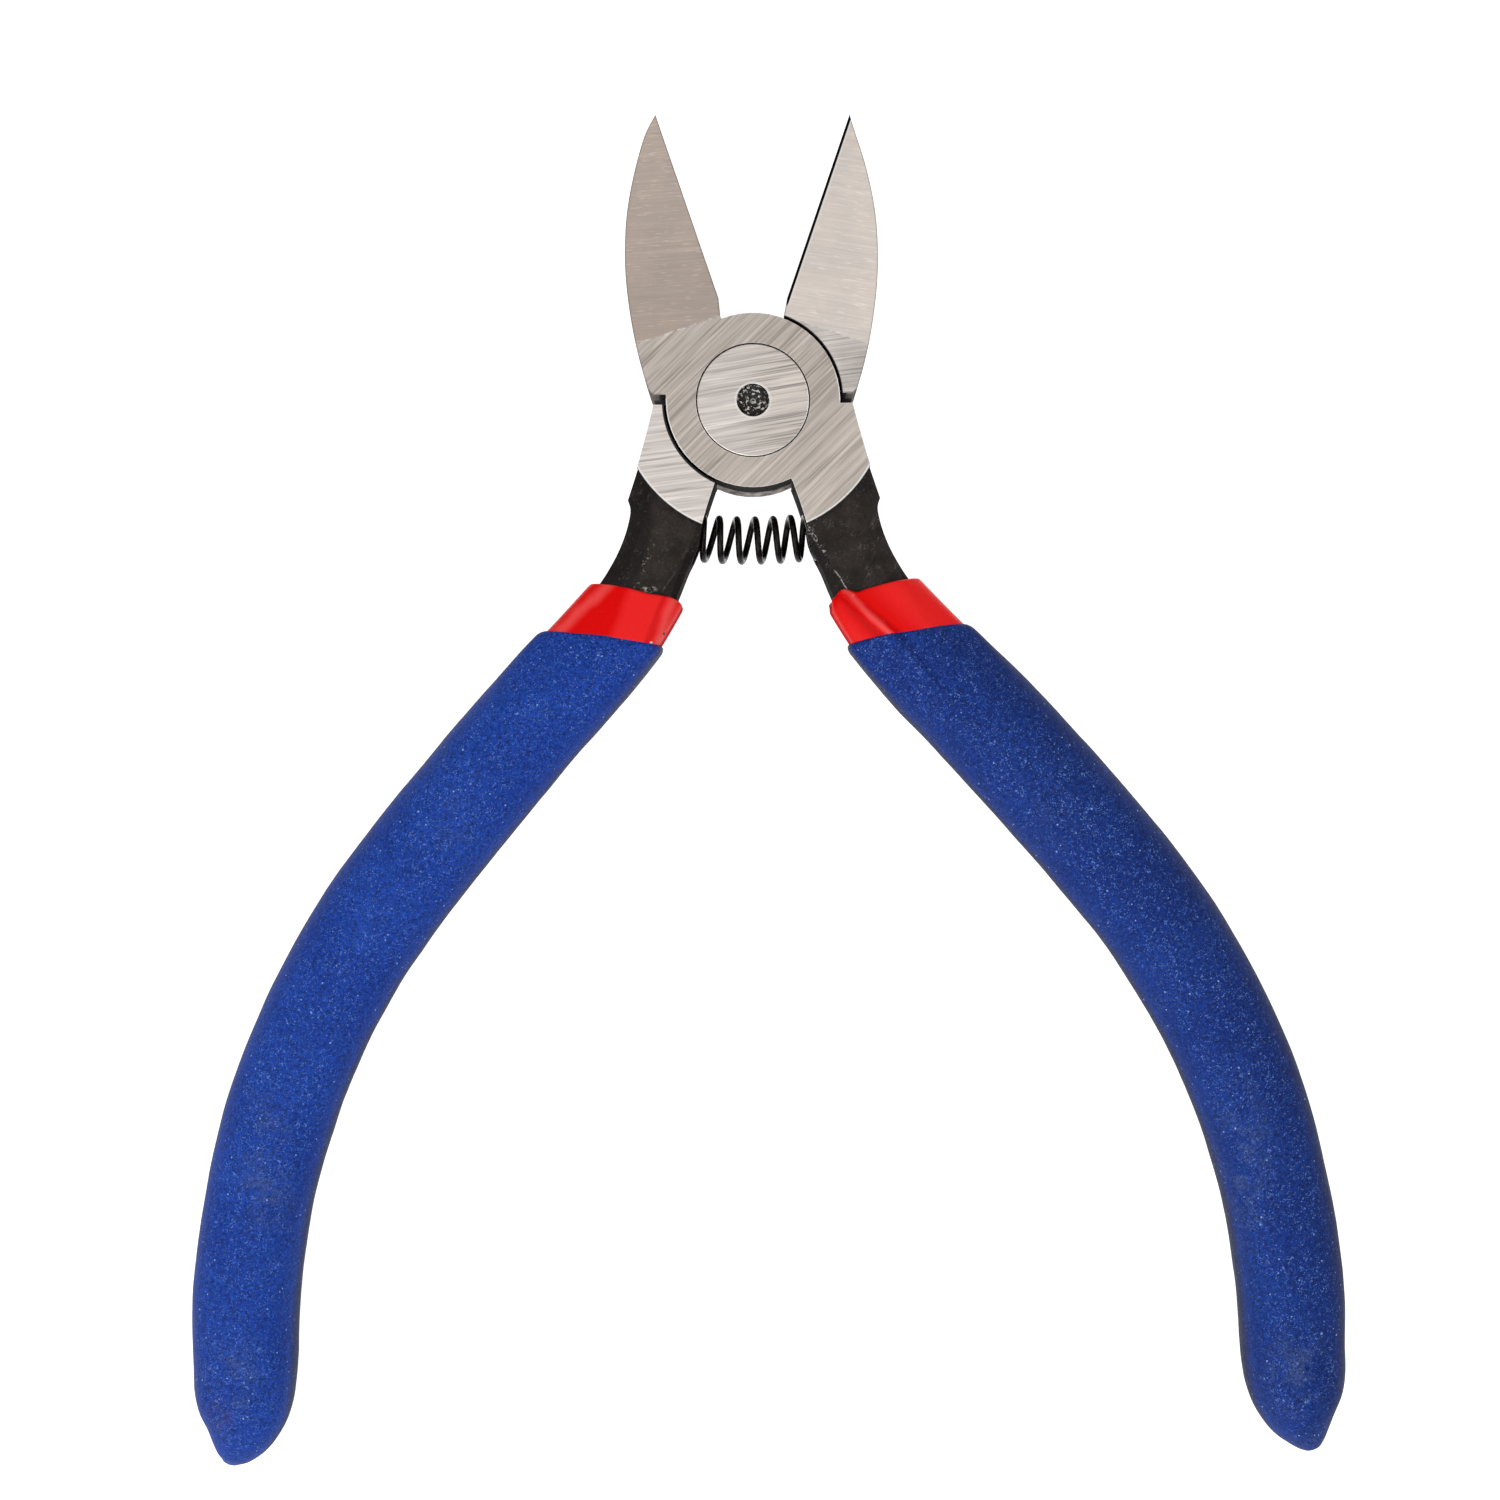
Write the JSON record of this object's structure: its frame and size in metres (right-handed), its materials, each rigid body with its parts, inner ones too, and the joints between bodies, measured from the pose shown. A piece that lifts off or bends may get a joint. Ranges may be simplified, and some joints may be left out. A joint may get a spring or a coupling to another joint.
{
  "type": "flush cutter",
  "caption": "Spring-opening flush cutter with lap-jointed ground steel jaws, flush rivet, black coil return spring and curved double-dipped red and blue grips.",
  "frame": {"origin": "pivot axis at the ground back face of the head, which the tool lies on", "axes": "+Z along the pivot axis out of the flush front face, +Y towards the blade tips, +X to the right"},
  "size_m": [0.1053, 0.123, 0.0096],
  "materials": {
    "ground_steel_front": "ground, lines at 45 degrees; tang black oxide",
    "ground_steel_rear": "ground, near-horizontal lines; tang black oxide",
    "rivet_steel": "ground flush, near-horizontal lines",
    "spring_wire": "black oxide, satin",
    "red_dip": "glossy dipped PVC",
    "blue_foam": "matte foamed PVC with a fine grain"
  },
  "bodies": {
    "rear_half": {"rear_lever": "ground_steel_rear", "pivot_rivet": "rivet_steel", "return_spring": "spring_wire", "left_inner_sleeve": "red_dip", "left_outer_grip": "blue_foam"},
    "front_half": {"front_lever": "ground_steel_front", "right_inner_sleeve": "red_dip", "right_outer_grip": "blue_foam"}
  },
  "joints": [
    {"name": "pivot", "type": "hinge", "parent": "rear_half", "child": "front_half", "pos_m": [0, 0, 0.0048], "axis": [0, 0, -1], "range_deg": [0, 37], "stiffness_Nm_per_rad": 0.6, "springref_deg": -8.59, "deforming": ["return_spring"]}
  ]
}
